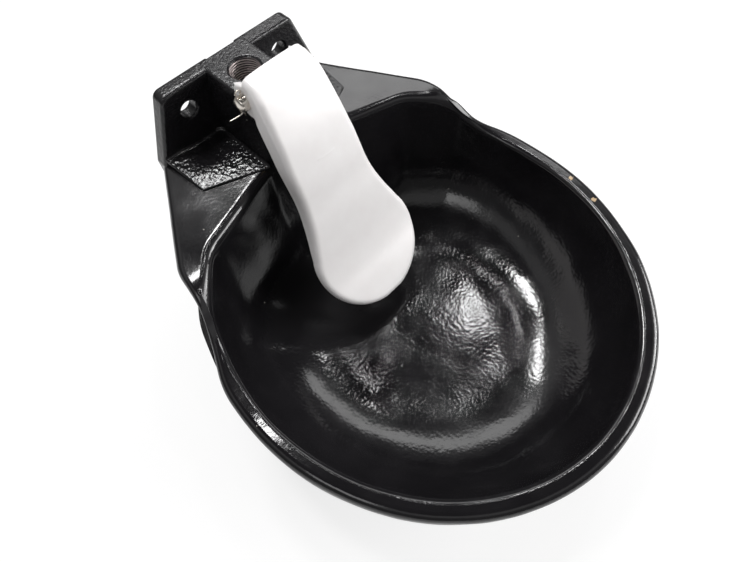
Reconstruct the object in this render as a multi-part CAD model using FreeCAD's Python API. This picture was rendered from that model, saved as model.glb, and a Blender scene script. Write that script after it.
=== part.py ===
import FreeCAD, Part
import math
import os

# Wall-hung cast-iron drinking bowl with a nose paddle, in millimetres.
# X is to the right as seen from the front, Y points into the wall, Z is up.
# The origin lies on the wall face, midway between the two bolt holes.

# Wall plate
plate_top = 18.0
plate_bottom = -78.0
plate_top_half_width = 52.0
plate_side_slope = 0.37
plate_thickness = 10.5
plate_corner_radius = 6.0
bolt_spacing = 76.0
bolt_hole_radius = 6.0
relief_half_width = 11.0
relief_depth = 2.2

# Bowl and rim
rim_level = -60.0
bowl_centre_y = -180.0
bowl_half_width = 130.0
bowl_half_length = 141.0
bowl_depth = 80.0
bowl_roundness = 2.6
floor_share = 0.34
rim_width = 12.5
rim_height = 14.0
rim_rounding = 5.0
inner_edge_rounding = 1.6
wall = 7.0

# Wings between the bowl and the plate
wing_level = -29.5
ramp_top_y = -97.0
ramp_top_radius = 25.0
ramp_foot_y = -124.0
ramp_foot_drop = 24.0
ramp_foot_radius = 30.0
ramp_end_y = -165.0
ramp_end_radius = 150.0
hip_join_deg = 98.2
hip_run = 15.3
hip_radius = 60.0
neck_inset = 26.0
neck_y = -104.0
neck_radius = 40.0
shoulder_inset = 29.5
shoulder_y = -80.0
shoulder_radius = 30.0
mouth_join_deg = 116.5
mouth_hip_run = 6.2
mouth_hip_radius = 35.0
mouth_shoulder_inset = 42.6
mouth_shoulder_y = -83.0
mouth_shoulder_radius = 28.0
mouth_back_radius = 9.0
pad_rise = 1.2
pad_outer_x = 66.0
pad_outer_front_y = -44.0
rib_x = 50.0
rib_thickness = 7.0

# Valve boss and hinge lug
boss_top_half_width = 18.6
boss_base_half_width = 22.5
boss_base = -52.0
boss_front_y = -62.0
lug_half_width = 17.8
lug_radius = 10.0
pivot_y = -56.5
pivot_z = 25.7
lug_reach = 24.0
lug_foot_radius = 3.0
boss_corner_radius = 4.5
boss_top_rounding = 2.0

# Water way: G 1/2 inlet above and below, valve chamber from the front
inlet_y = -26.0
inlet_thread_radius = 10.478
inlet_thread_length = 16.0
strainer_seat_depth = 2.0
water_way_radius = 8.5
valve_z = -8.0
chamber_radius = 10.5
chamber_back_y = -14.0

# Paddle
ear_half_width = 22.3
ear_thickness = 4.0
ear_radius = 11.0
paddle_thickness = 4.0
spoon_lip_depth = 5.5
spoon_half_width = 43.4
paddle_nose_radius = 5.0
pusher_half_width = 8.0
pusher_web = 7.0
paddle_travel_deg = 8.0

ear_back_y = -48.0
ear_back_z = 28.0
web_back_y = -57.0
web_back_z = 41.0
web_crown_y = -73.5
web_crown_z = 40.3
web_crown_radius = 14.0
web_knee_y = -124.1
web_knee_z = -68.2
web_knee_radius = 150.0
spoon_tip_y = -157.5
spoon_tip_z = -111.0
flange_top_y = -64.0
flange_top_z = 15.6
flange_knee_y = -104.0
flange_knee_z = -53.0
spoon_centre_z = -77.0
spoon_half_height = 34.5
spoon_join_deg = 112.0
spoon_run = 25.5
spoon_neck_radius = 60.0
neck_start_y = -65.5
neck_end_y = -100.5
neck_spread = 7.0

# Pin and split pin
pin_radius = 5.0
pin_clearance = 0.08
pin_head_radius = 8.0
pin_head_height = 4.0
pin_head_chamfer = 1.2
pin_end_length = 6.2
pin_dome = 2.2
pin_side_play = 0.4
ear_pocket_gap = 2.5
split_pin_radius = 0.9
split_pin_leg = 9.0
split_pin_eye_radius = 2.6
split_pin_eye_bore = 1.3
split_pin_overrun = 1.0
split_pin_leans = [(-0.93, 0.25, -0.26), (0.05, -0.93, -0.36)]

# Valve cartridge
cartridge_radius = 11.5
cartridge_end_y = -38.0
hex_across_flats = 27.0
hex_length = 7.0
hex_face_radius = 13.0
collar_length = 9.0
flute_radius = 1.7
gasket_thickness = 1.5
gasket_width = 3.4
seat_y = -57.0
seat_chamber_radius = 8.0
stem_bore_radius = 4.6
stem_radius = 3.0
stem_clearance = 0.08
stem_tail_radius = 2.5
button_radius = 4.5
button_length = 3.0
button_gap = 1.1
button_chamfer = 0.6
flutes = 3
disc_radius = 7.0
disc_thickness = 2.0
seal_thickness = 2.5
seal_gap = 0.05
cage_hole_radius = 1.6
cage_hole_circle = 5.2
cage_holes = 4
cage_plug_length = 3.0
cage_flange_radius = 9.5
cage_flange_thickness = 1.5
spring_radius = 4.6
spring_wire_radius = 0.45
spring_turns = 4.0
strainer_radius = 6.0
strainer_length = 16.0
strainer_wall = 0.7
strainer_flange_radius = 9.8
strainer_flange_thickness = 1.0
strainer_slots = 8
strainer_slot_width = 2.0
push_gap = 0.3

# Blanking plug
plug_length = 10.0
plug_across_flats = 24.0
plug_head = 6.0
plug_wall = 3.0
plug_floor = 2.0
plug_gasket_width = 2.4
fit_gap = 0.05

# Points and bands that carry the curves, and how far cutting tools run past a face
ring_points = 40
dome_bands = 3
over = 1.0
edge_points = 72
edge_flats = 3
bowl_sections = 9
sections_per_turn = 10

X_AXIS = FreeCAD.Vector(1, 0, 0)
Y_AXIS = FreeCAD.Vector(0, 1, 0)
Z_AXIS = FreeCAD.Vector(0, 0, 1)
FAR = 400.0

wing_half_width_at_wall = plate_top_half_width + plate_side_slope * (plate_top - wing_level)
hex_front_y = boss_front_y - gasket_thickness - hex_length
push_arm = pivot_z - valve_z
stem_travel = push_arm * math.sin(math.radians(paddle_travel_deg)) + push_gap
button_back_y = hex_front_y - button_gap - stem_travel
button_front_y = button_back_y - button_length
disc_front_y = seat_y + seal_gap + seal_thickness
disc_back_y = disc_front_y + disc_thickness
cage_seat_y = cartridge_end_y - cage_plug_length
cage_back_y = cartridge_end_y + cage_flange_thickness
pusher_y = button_front_y - push_gap - paddle_nose_radius
tail_end_y = inlet_y - strainer_radius - stem_travel - 1
pin_cross_x = -ear_half_width - pin_end_length / 2


def vec(x, y, z):
    return FreeCAD.Vector(x, y, z)


def box(x0, x1, y0, y1, z0, z1):
    return Part.makeBox(x1 - x0, y1 - y0, z1 - z0, vec(x0, y0, z0))


def cylinder(radius, start, direction, length):
    return Part.makeCylinder(radius, length, start, direction)


def rounded_path(corners, closed):
    """Wire through corners (point, radius), each corner cut by a tangent arc of its radius."""
    count = len(corners)
    joints = []
    for i in range(count):
        point, radius = corners[i]
        if radius <= 0:
            joints.append((point, None, point))
            continue
        to_last = (corners[i - 1][0] - point).normalize()
        to_next = (corners[(i + 1) % count][0] - point).normalize()
        half_angle = to_last.getAngle(to_next) / 2
        reach = radius / math.tan(half_angle)
        middle = (to_last + to_next).normalize()
        arc_mid = point + middle * (radius / math.sin(half_angle) - radius)
        joints.append((point + to_last * reach, arc_mid, point + to_next * reach))
    edges = []
    for i in range(count):
        start, arc_mid, end = joints[i]
        if arc_mid is not None:
            edges.append(Part.Arc(start, arc_mid, end).toShape())
        following = joints[(i + 1) % count][0]
        last = i == count - 1 and not closed
        if not last and end.distanceToPoint(following) > 1e-6:
            edges.append(Part.LineSegment(end, following).toShape())
    return Part.Wire(edges)


def turned(profile, centre_x, centre_z):
    """Solid of revolution about a line along Y, from (y, radius) pairs that run round the section."""
    points = [vec(centre_x + r, y, centre_z) for y, r in profile]
    face = Part.Face(Part.makePolygon(points + [points[0]]))
    return face.revolve(vec(centre_x, 0, centre_z), Y_AXIS, 360)


def hexagon_prism(across_flats, start, direction, length):
    """Hexagon bar with two flats square to Z (along Y) or square to Y (along Z)."""
    radius = across_flats / 2 / math.cos(math.radians(30))
    points = []
    for i in range(6):
        angle = math.radians(60 * i)
        across = radius * math.cos(angle)
        upward = radius * math.sin(angle)
        if abs(direction.y) > 0.5:
            points.append(start + vec(across, 0, upward))
        else:
            points.append(start + vec(across, upward, 0))
    face = Part.Face(Part.makePolygon(points + [points[0]]))
    return face.extrude(direction * length)


# Outlines

def oval(centre_y, half_width, half_length, join_deg, corners):
    """Closed wire in plan: an elliptical front up to a join angle, closed behind by rounded straight runs."""
    join = math.radians(join_deg)
    centre = vec(0, centre_y, 0)
    front = centre - vec(0, half_length, 0)
    side = centre + vec(half_width, 0, 0)
    if half_length >= half_width:
        arc = Part.Ellipse(front, side, centre).toShape(-join, join)
    else:
        back = centre + vec(0, half_length, 0)
        arc = Part.Ellipse(side, back, centre).toShape(-join - math.pi / 2, join - math.pi / 2)
    end = vec(half_width * math.sin(join), centre_y - half_length * math.cos(join), 0)
    right = [(end, 0)] + [(vec(x, y, 0), r) for x, y, r in corners]
    left = [(vec(-p.x, p.y, 0), r) for p, r in reversed(right)]
    return Part.Wire([arc] + rounded_path(right + left, False).Edges)


def along_tangent(centre_y, half_width, half_length, join_deg, run):
    """Plan point reached from an oval's join by a straight run along its tangent."""
    join = math.radians(join_deg)
    tangent = vec(half_width * math.cos(join), half_length * math.sin(join), 0).normalize()
    return vec(half_width * math.sin(join), centre_y - half_length * math.cos(join), 0) + tangent * run


def closed_curve(points):
    curve = Part.BSplineCurve()
    curve.interpolate(Points=points, PeriodicFlag=True)
    return Part.Wire(curve.toShape())


def ring(wire, share, outset, z):
    """The outline shrunk towards the bowl's centre by a share, moved out along its normals, at height z."""
    centre = vec(0, bowl_centre_y, 0)
    moved = []
    for point, outward in outline_points(wire, ring_points):
        moved.append(centre + (point - centre) * share + outward * outset + vec(0, 0, z))
    return closed_curve(moved)


def outline_points(wire, count):
    """Even points round an outline, each with its outward direction."""
    points = wire.discretize(Number=count + 1)[:-1]
    middle = vec(0, bowl_centre_y, 0)
    pairs = []
    for i in range(count):
        along = (points[(i + 1) % count] - points[i - 1]).normalize()
        outward = vec(-along.y, along.x, 0)
        if (points[i] - middle).dot(outward) < 0:
            outward = outward * -1
        pairs.append((points[i], outward))
    return pairs


def edge_rounder(wire, radius, side):
    """Ring that takes the corner off the rim along an outline: side 1 outside, -1 inside."""
    section = []
    for i in range(edge_flats + 1):
        turn = math.pi / 2 * i / edge_flats
        section.append((radius * (math.cos(turn) - 1), radius * (math.sin(turn) - 1)))
    first = (section[0][0] * 1.5 - section[1][0] * 0.5, section[0][1] * 1.5 - section[1][1] * 0.5)
    last = (section[-1][0] * 1.5 - section[-2][0] * 0.5, section[-1][1] * 1.5 - section[-2][1] * 0.5)
    section = [first] + section[1:-1] + [last, (radius, radius)]
    line = rim_line().discretize(Number=120)
    points = outline_points(wire, edge_points)
    curves = []
    for outset, rise in section:
        moved = []
        for point, outward in points:
            place = point + outward * (outset * side)
            moved.append(place + Z_AXIS * (level_at(line, place.y) + rise))
        curves.append(closed_curve(moved).Edges[0])
    faces = [Part.makeRuledSurface(curves[i - 1], curves[i]) for i in range(len(curves))]
    return Part.Solid(Part.Shell(faces))


def rim_line():
    """Side view of the rim: level over the wings, a steep and then an easy ramp, level round the bowl."""
    foot_level = wing_level - ramp_foot_drop
    corners = [(vec(0, FAR, wing_level), 0), (vec(0, ramp_top_y, wing_level), ramp_top_radius),
               (vec(0, ramp_foot_y, foot_level), ramp_foot_radius),
               (vec(0, ramp_end_y, rim_level), ramp_end_radius), (vec(0, -FAR, rim_level), 0)]
    return rounded_path(corners, False)


def level_at(line, y):
    """Height of a line of points at a distance from the wall."""
    for ahead, behind in zip(line[1:], line):
        if ahead.y <= y <= behind.y:
            return ahead.z + (behind.z - ahead.z) * (y - ahead.y) / (behind.y - ahead.y)
    return rim_level


def bowl_solid(wire, outset, drop, top):
    """Bowl form below an outline: straight at the top, closing towards the floor on a rounded profile."""
    wires = [ring(wire, 1, outset, top)]
    for i in range(bowl_sections + 1):
        turn = math.pi / 2 * i / bowl_sections
        depth = math.sin(turn) ** (2 / bowl_roundness)
        share = floor_share + (1 - floor_share) * math.cos(turn) ** (2 / bowl_roundness)
        wires.append(ring(wire, share, outset, rim_level - (bowl_depth + drop) * depth))
    return Part.makeLoft(wires, True, True)


def rim_slab(drop, thickness):
    """Slab across the whole width whose top follows the rim, lowered by a drop."""
    upper = rim_line().Edges
    lower = [edge.translated(vec(0, 0, -thickness)) for edge in upper]
    ends = [Part.LineSegment(vec(0, y, z), vec(0, y, z - thickness)).toShape()
            for y, z in ((FAR, wing_level), (-FAR, rim_level))]
    face = Part.Face(Part.Wire(Part.__sortEdges__(upper + lower + ends)))
    face.translate(vec(-FAR / 2, 0, -drop))
    return face.extrude(X_AXIS * FAR)


# Casting

def wall_plate():
    """Trapezium plate with rounded corners and a shallow relief in the middle of its wall side."""
    half_top = plate_top_half_width
    half_wing = wing_half_width_at_wall
    half_low = half_wing - (wing_level - plate_bottom) * plate_side_slope
    left = [(vec(-half_low, 0, plate_bottom), 2 * plate_corner_radius),
            (vec(-half_wing, 0, wing_level - rim_height), plate_corner_radius),
            (vec(-half_wing, 0, wing_level), 0), (vec(-half_top, 0, plate_top), plate_corner_radius)]
    right = [(vec(-point.x, 0, point.z), radius) for point, radius in reversed(left)]
    face = Part.Face(rounded_path(left + right, True))
    return face.extrude(Y_AXIS * -plate_thickness)


def boss():
    """Drafted block with rounded front corners that carries the valve, and the round hinge lug on it."""
    back = -plate_thickness / 2
    sections = []
    for half_width, inset, z in ((boss_base_half_width, 0, boss_base),
                                 (boss_top_half_width, 0, plate_top - boss_top_rounding),
                                 (boss_top_half_width, boss_top_rounding, plate_top)):
        x = half_width - inset
        front = boss_front_y + inset
        corners = [vec(x, back, z)]
        for i in range(edge_flats + 1):
            turn = math.pi / 2 * i / edge_flats
            corners.append(vec(x - boss_corner_radius * (1 - math.cos(turn)),
                               front + boss_corner_radius * (1 - math.sin(turn)), z))
        corners += [vec(-p.x, p.y, z) for p in reversed(corners)]
        sections.append(Part.makePolygon(corners + [corners[0]]))
    block = Part.makeLoft(sections, True, True)
    near = vec(-lug_half_width, pivot_y + lug_radius, 0)
    far = vec(-lug_half_width, pivot_y - lug_radius, 0)
    low = vec(-lug_half_width, pivot_y, pivot_z - lug_reach)
    crown = Z_AXIS * (pivot_z + lug_radius)
    corners = [(low, 0), (near + Z_AXIS * (plate_top - boss_corner_radius), 0),
               (near + crown, lug_radius - fit_gap), (far + crown, lug_radius - fit_gap),
               (far + Z_AXIS * (pivot_z - lug_radius), lug_foot_radius)]
    lug = Part.Face(rounded_path(corners, True)).extrude(X_AXIS * 2 * lug_half_width)
    return block.fuse(lug)


def pads():
    """Rough raised pads on the wings, between the boss and the plate's side edges."""
    solids = []
    for side in (-1, 1):
        corners = [(vec(side * boss_top_half_width, -plate_thickness / 2, 0), 0),
                   (vec(side * pad_outer_x, -plate_thickness / 2, 0), 0),
                   (vec(side * pad_outer_x, pad_outer_front_y, 0), plate_corner_radius),
                   (vec(side * boss_base_half_width, boss_front_y + 2, 0), 0),
                   (vec(side * boss_top_half_width, boss_front_y + 2, 0), 0)]
        face = Part.Face(rounded_path(corners, True))
        face.translate(vec(0, 0, wing_level - wall))
        solids.append(face.extrude(Z_AXIS * (wall + pad_rise)))
    return solids


def ribs():
    """Two ribs that tie the plate's foot to the back of the bowl, under the wings."""
    depth = -boss_front_y
    low = plate_bottom + plate_corner_radius * 2
    solids = []
    for side in (-1, 1):
        x = side * rib_x - rib_thickness / 2
        corners = [vec(x, -plate_thickness / 2, wing_level - wall), vec(x, -depth - wall, wing_level - wall),
                   vec(x, -depth - 3 * wall, low), vec(x, -plate_thickness / 2, low)]
        face = Part.Face(Part.makePolygon(corners + [corners[0]]))
        solids.append(face.extrude(X_AXIS * rib_thickness))
    return solids


def bowl_casting():
    """Painted iron casting: bowl, rolled rim, wings, wall plate, valve boss and hinge lug in one."""
    outer_half_width = bowl_half_width + rim_width
    outer_half_length = bowl_half_length + rim_width
    hip = along_tangent(bowl_centre_y, outer_half_width, outer_half_length, hip_join_deg, hip_run)
    shoulder = [(hip.x, hip.y, hip_radius), (outer_half_width - neck_inset, neck_y, neck_radius),
                (outer_half_width - shoulder_inset, shoulder_y, shoulder_radius),
                (wing_half_width_at_wall, 0, 0)]
    outer = oval(bowl_centre_y, outer_half_width, outer_half_length, hip_join_deg, shoulder)
    hip = along_tangent(bowl_centre_y, bowl_half_width, bowl_half_length, mouth_join_deg, mouth_hip_run)
    mouth = [(hip.x, hip.y, mouth_hip_radius),
             (bowl_half_width - mouth_shoulder_inset, mouth_shoulder_y, mouth_shoulder_radius),
             (boss_base_half_width, boss_front_y, mouth_back_radius)]
    inner = oval(bowl_centre_y, bowl_half_width, bowl_half_length, mouth_join_deg, mouth)
    cavity = bowl_solid(inner, 0, 0, wing_level + pad_rise + over)

    band = Part.Face(outer).extrude(Z_AXIS * -FAR).common(rim_slab(0, rim_height))
    band = band.cut(edge_rounder(outer, rim_rounding, 1))
    shell = bowl_solid(inner, wall, wall, wing_level + wall).common(rim_slab(rim_height / 2, FAR))
    bowl = shell.fuse(band).cut(cavity).cut(edge_rounder(inner, inner_edge_rounding, -1))
    back = wall_plate().fuse([boss()] + pads())
    frame = [rib.cut(cavity) for rib in ribs()]
    body = bowl.fuse([back] + frame)

    holes = []
    for side in (-1, 1):
        bolt = vec(side * bolt_spacing / 2, over, 0)
        pivot = vec(side * lug_half_width, pivot_y, pivot_z)
        holes.append(cylinder(bolt_hole_radius, bolt, Y_AXIS * -1, plate_thickness + 2 * over))
        holes.append(cylinder(ear_radius + ear_pocket_gap, pivot, X_AXIS * side, ear_thickness))
    relief = [vec(-relief_half_width - relief_depth, 0, FAR), vec(-relief_half_width, -relief_depth, FAR),
              vec(relief_half_width, -relief_depth, FAR), vec(relief_half_width + relief_depth, 0, FAR)]
    holes.append(Part.Face(Part.makePolygon(relief + [relief[0]])).extrude(Z_AXIS * -2 * FAR))
    holes.append(cylinder(inlet_thread_radius, vec(0, inlet_y, plate_top), Z_AXIS * -1, inlet_thread_length))
    holes.append(cylinder(inlet_thread_radius, vec(0, inlet_y, boss_base), Z_AXIS, inlet_thread_length))
    holes.append(cylinder(strainer_flange_radius + fit_gap, vec(0, inlet_y, plate_top), Z_AXIS * -1,
                          inlet_thread_length + strainer_seat_depth))
    holes.append(cylinder(water_way_radius, vec(0, inlet_y, boss_base), Z_AXIS, plate_top - boss_base))
    face = vec(0, boss_front_y, valve_z)
    depth = cage_back_y + over - boss_front_y
    holes.append(cylinder(cartridge_radius + fit_gap, face - Y_AXIS * over, Y_AXIS, depth + over))
    holes.append(cylinder(chamber_radius, face, Y_AXIS, chamber_back_y - boss_front_y))
    holes.append(cylinder(pin_radius + fit_gap, vec(-FAR / 2, pivot_y, pivot_z), X_AXIS, FAR))
    bores = holes[0].fuse(holes[1:])
    return body.cut(bores)


# Paddle

def paddle_side(inset):
    """Side view of the tongue, its upper line moved down by an inset, as a slab along X."""
    back = vec(-FAR / 2, web_back_y, web_back_z)
    crown = vec(-FAR / 2, web_crown_y, web_crown_z)
    knee = vec(-FAR / 2, web_knee_y, web_knee_z)
    tip = vec(-FAR / 2, spoon_tip_y, spoon_tip_z)
    upper = square_to(knee - crown)
    lower = square_to(tip - knee)
    corners = [(back - Z_AXIS * inset, 0),
               (moved_in(crown, Z_AXIS * -1, upper, inset), web_crown_radius - inset),
               (moved_in(knee, upper, lower, inset), web_knee_radius), (tip + lower * inset, 0)]
    if inset > 0:
        beyond = tip + (tip - knee).normalize() * FAR
        corners += [(beyond, 0), (vec(-FAR / 2, FAR, -FAR), 0), (vec(-FAR / 2, FAR, web_back_z - inset), 0)]
    else:
        corners += [(tip + lower * spoon_lip_depth, 0),
                    (vec(-FAR / 2, flange_knee_y, flange_knee_z), web_knee_radius),
                    (vec(-FAR / 2, flange_top_y, flange_top_z), 0),
                    (vec(-FAR / 2, pivot_y, pivot_z - ear_radius), 0),
                    (vec(-FAR / 2, ear_back_y, ear_back_z), 0)]
    return Part.Face(rounded_path(corners, True)).extrude(X_AXIS * FAR)


def moved_in(corner, first, second, inset):
    """Corner moved in by the same inset from both of its sides, given their inward directions."""
    return corner + (first + second) * (inset / (1 + first.dot(second)))


def square_to(direction):
    """Unit vector in the side view, turned from a direction towards the underside of the tongue."""
    return vec(0, -direction.z, direction.y).normalize()


def front_outline(inset):
    """Spoon and neck as seen from the front, drawn in by an inset, as a prism along Y."""
    half_width = spoon_half_width - inset
    half_height = spoon_half_height - inset
    neck = along_tangent(spoon_centre_z, half_width, half_height, spoon_join_deg, spoon_run)
    corners = [(neck.x, neck.y, spoon_neck_radius), (ear_half_width - inset, web_back_z + ear_radius, 0)]
    face = Part.Face(oval(spoon_centre_z, half_width, half_height, spoon_join_deg, corners))
    face.rotate(vec(0, 0, 0), X_AXIS, 90)
    return face.extrude(Y_AXIS * -FAR)


def plan_outline(inset):
    """Seen from above: parallel sides at the ears, spreading forward to the spoon, as a prism along Z."""
    near = ear_half_width - inset
    corners = [vec(near, 0, -FAR / 2), vec(near, neck_start_y, -FAR / 2),
               vec(near + neck_spread, neck_end_y, -FAR / 2), vec(near + FAR, -FAR, -FAR / 2)]
    loop = corners + [vec(-p.x, p.y, p.z) for p in reversed(corners)]
    return Part.Face(Part.makePolygon(loop + [loop[0]])).extrude(Z_AXIS * FAR)


def nose_paddle():
    """Pressed and painted tongue: hinge ears, flanged web, round spoon and the nub that pushes the valve."""
    outer = paddle_side(0)
    ears = cylinder(ear_radius, vec(-ear_half_width, pivot_y, pivot_z), X_AXIS, 2 * ear_half_width)
    block = outer.fuse(ears).common(front_outline(0)).common(plan_outline(0))
    hollow = paddle_side(paddle_thickness).common(front_outline(ear_thickness))
    tongue = block.cut(hollow.common(plan_outline(ear_thickness)))

    tip = vec(-pusher_half_width, pusher_y, valve_z)
    nub = cylinder(paddle_nose_radius, tip, X_AXIS, 2 * pusher_half_width)
    stalk = box(-pusher_half_width, pusher_half_width, pusher_y - 3 * paddle_nose_radius, pusher_y,
                valve_z - pusher_web / 2, valve_z + pusher_web / 2)
    nub = nub.fuse(stalk).common(outer)
    tongue = tongue.fuse(nub)
    return tongue.cut(cylinder(pin_radius + pin_clearance, vec(-FAR / 2, pivot_y, pivot_z), X_AXIS, FAR))


def pivot_pin():
    """Plated hinge pin: flat head on the right, domed end with a cross hole on the left."""
    head_x = ear_half_width + pin_side_play
    tip_x = -ear_half_width - pin_end_length
    profile = []
    for i in range(dome_bands + 1):
        turn = math.pi / 2 * i / dome_bands
        profile.append((tip_x + pin_dome * (1 - math.cos(turn)), pin_radius * math.sin(turn)))
    end_x = head_x + pin_head_height
    profile += [(head_x, pin_radius), (head_x, pin_head_radius), (end_x - pin_head_chamfer, pin_head_radius),
                (end_x, pin_head_radius - pin_head_chamfer), (end_x, 0)]
    points = [vec(x, pivot_y + r, pivot_z) for x, r in profile]
    face = Part.Face(Part.makePolygon(points + [points[0]]))
    pin = face.revolve(vec(0, pivot_y, pivot_z), X_AXIS, 360)
    start = vec(pin_cross_x, pivot_y, pivot_z - 2 * pin_radius)
    return pin.cut(cylinder(split_pin_radius + fit_gap, start, Z_AXIS, 4 * pin_radius))


def split_pin():
    """Bent wire pin through the end of the hinge pin: eye above, two legs turned outward below."""
    top = vec(pin_cross_x, pivot_y, pivot_z + pin_radius + split_pin_overrun)
    bottom = vec(pin_cross_x, pivot_y, pivot_z - pin_radius - split_pin_overrun)
    wire = cylinder(split_pin_radius, bottom, Z_AXIS, (top - bottom).Length)
    eye = top + Z_AXIS * (split_pin_eye_radius - split_pin_radius) - X_AXIS * split_pin_radius
    pieces = [ring_solid(split_pin_eye_bore, split_pin_eye_radius, eye, X_AXIS, 2 * split_pin_radius)]
    for lean in split_pin_leans:
        direction = vec(*lean).normalize()
        pieces.append(cylinder(split_pin_radius * 0.8, bottom, direction, split_pin_leg))
    return wire.fuse(pieces)


# Valve cartridge, turned about a line along Y through the boss

def valve_body():
    """Brass cartridge: hexagon, threaded barrel, bored seat and chamber for the seal."""
    hexagon = hexagon_prism(hex_across_flats, vec(0, hex_front_y, valve_z), Y_AXIS, hex_length)
    back = hex_front_y + hex_length
    slope = math.tan(math.radians(60))
    crown = turned([(hex_front_y, 0), (hex_front_y, hex_face_radius),
                    (back, hex_face_radius + hex_length * slope), (back, 0)], 0, valve_z)
    barrel = cylinder(cartridge_radius, vec(0, back, valve_z), Y_AXIS, cartridge_end_y - back)
    body = hexagon.common(crown).fuse(barrel)
    front = vec(0, hex_front_y - over, valve_z)
    seat = vec(0, seat_y, valve_z)
    body = body.cut(cylinder(stem_bore_radius, front, Y_AXIS, seat_y + 2 * over - hex_front_y))
    return body.cut(cylinder(seat_chamber_radius, seat, Y_AXIS, cartridge_end_y + over - seat_y))


def ring_solid(inner_radius, outer_radius, start, direction, length):
    disc = cylinder(outer_radius, start, direction, length)
    return disc.cut(cylinder(inner_radius, start, direction, length))


def body_gasket():
    """Flat fibre ring between the cartridge hexagon and the boss face."""
    return ring_solid(cartridge_radius, cartridge_radius + gasket_width,
                      vec(0, boss_front_y - gasket_thickness, valve_z), Y_AXIS, gasket_thickness)


def valve_stem():
    """Brass stem: button, fluted guide collar, sealing disc and tail."""
    collar_start = (hex_front_y + seat_y - collar_length) / 2
    collar_radius = stem_bore_radius - stem_clearance
    profile = [(button_front_y, 0), (button_front_y, button_radius - button_chamfer),
               (button_front_y + button_chamfer, button_radius),
               (button_back_y, button_radius), (button_back_y, stem_radius), (collar_start, stem_radius),
               (collar_start, collar_radius), (collar_start + collar_length, collar_radius),
               (collar_start + collar_length, stem_radius),
               (disc_front_y, stem_radius), (disc_front_y, disc_radius),
               (disc_back_y, disc_radius), (disc_back_y, stem_tail_radius), (tail_end_y, stem_tail_radius),
               (tail_end_y, 0)]
    stem = turned(profile, 0, valve_z)
    for i in range(flutes):
        angle = math.pi / 2 + 2 * math.pi * i / flutes
        start = vec(stem_bore_radius * math.cos(angle), collar_start - over / 2,
                    valve_z + stem_bore_radius * math.sin(angle))
        stem = stem.cut(cylinder(flute_radius, start, Y_AXIS, collar_length + over))
    return stem


def seat_seal():
    """Rubber ring on the stem that closes against the seat."""
    start = vec(0, disc_front_y - seal_thickness, valve_z)
    return ring_solid(stem_radius + fit_gap, disc_radius, start, Y_AXIS, seal_thickness)


def valve_spring():
    """Closing spring between the sealing disc and the cage: hexagon sections carried up a helix."""
    length = cage_seat_y - disc_back_y - 2 * spring_wire_radius
    steps = round(spring_turns * sections_per_turn)
    sections = []
    for i in range(steps + 1):
        angle = 2 * math.pi * i / sections_per_turn
        outward = vec(math.cos(angle), 0, math.sin(angle))
        climb = disc_back_y + spring_wire_radius + length * i / steps
        middle = vec(0, climb, valve_z) + outward * spring_radius
        corners = []
        for k in range(6):
            turn = math.radians(60 * k)
            corners.append(middle + (outward * math.cos(turn) + Y_AXIS * math.sin(turn)) * spring_wire_radius)
        sections.append(Part.makePolygon(corners + [corners[0]]))
    return Part.makeLoft(sections, True, True)


def spring_cage():
    """Brass end piece: guides the stem's tail, carries the spring and lets the water through."""
    plug = cylinder(seat_chamber_radius, vec(0, cage_seat_y, valve_z), Y_AXIS, cage_plug_length)
    flange = cylinder(cage_flange_radius, vec(0, cartridge_end_y, valve_z), Y_AXIS, cage_flange_thickness)
    cage = plug.fuse(flange)
    length = cage_back_y - cage_seat_y
    cage = cage.cut(cylinder(stem_tail_radius + stem_clearance, vec(0, cage_seat_y, valve_z), Y_AXIS, length))
    for i in range(cage_holes):
        angle = 2 * math.pi * i / cage_holes
        start = vec(cage_hole_circle * math.cos(angle), cage_seat_y,
                    valve_z + cage_hole_circle * math.sin(angle))
        cage = cage.cut(cylinder(cage_hole_radius, start, Y_AXIS, length))
    return cage


def inlet_strainer():
    """Slotted thimble that hangs from the shoulder below the upper inlet's thread."""
    shoulder_z = plate_top - inlet_thread_length - strainer_seat_depth
    floor_z = shoulder_z - strainer_length
    flange = cylinder(strainer_flange_radius, vec(0, inlet_y, shoulder_z), Z_AXIS, strainer_flange_thickness)
    thimble = flange.fuse(cylinder(strainer_radius, vec(0, inlet_y, floor_z), Z_AXIS, strainer_length))
    floor = vec(0, inlet_y, floor_z + strainer_wall)
    thimble = thimble.cut(cylinder(strainer_radius - strainer_wall, floor, Z_AXIS, strainer_length + over))
    for i in range(strainer_slots):
        slot = box(-strainer_slot_width / 2, strainer_slot_width / 2, 0, 2 * strainer_radius,
                   floor_z + 2 * strainer_wall, shoulder_z - 3 * strainer_wall)
        slot.rotate(vec(0, 0, 0), Z_AXIS, 360 * i / strainer_slots)
        slot.translate(vec(0, inlet_y, 0))
        thimble = thimble.cut(slot)
    return thimble


# Lower inlet, closed

def blanking_plug():
    """Threaded hexagon plug in the lower inlet."""
    head_top = boss_base - gasket_thickness
    head = hexagon_prism(plug_across_flats, vec(0, inlet_y, head_top), Z_AXIS * -1, plug_head)
    shank = cylinder(inlet_thread_radius, vec(0, inlet_y, head_top), Z_AXIS, plug_length + gasket_thickness)
    floor = vec(0, inlet_y, head_top + plug_floor)
    hollow = cylinder(inlet_thread_radius - plug_wall, floor, Z_AXIS, plug_length + gasket_thickness)
    return head.fuse(shank).cut(hollow)


def plug_gasket():
    """Flat fibre ring under the plug's head."""
    return ring_solid(inlet_thread_radius, inlet_thread_radius + plug_gasket_width,
                      vec(0, inlet_y, boss_base - gasket_thickness), Z_AXIS, gasket_thickness)


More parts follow.
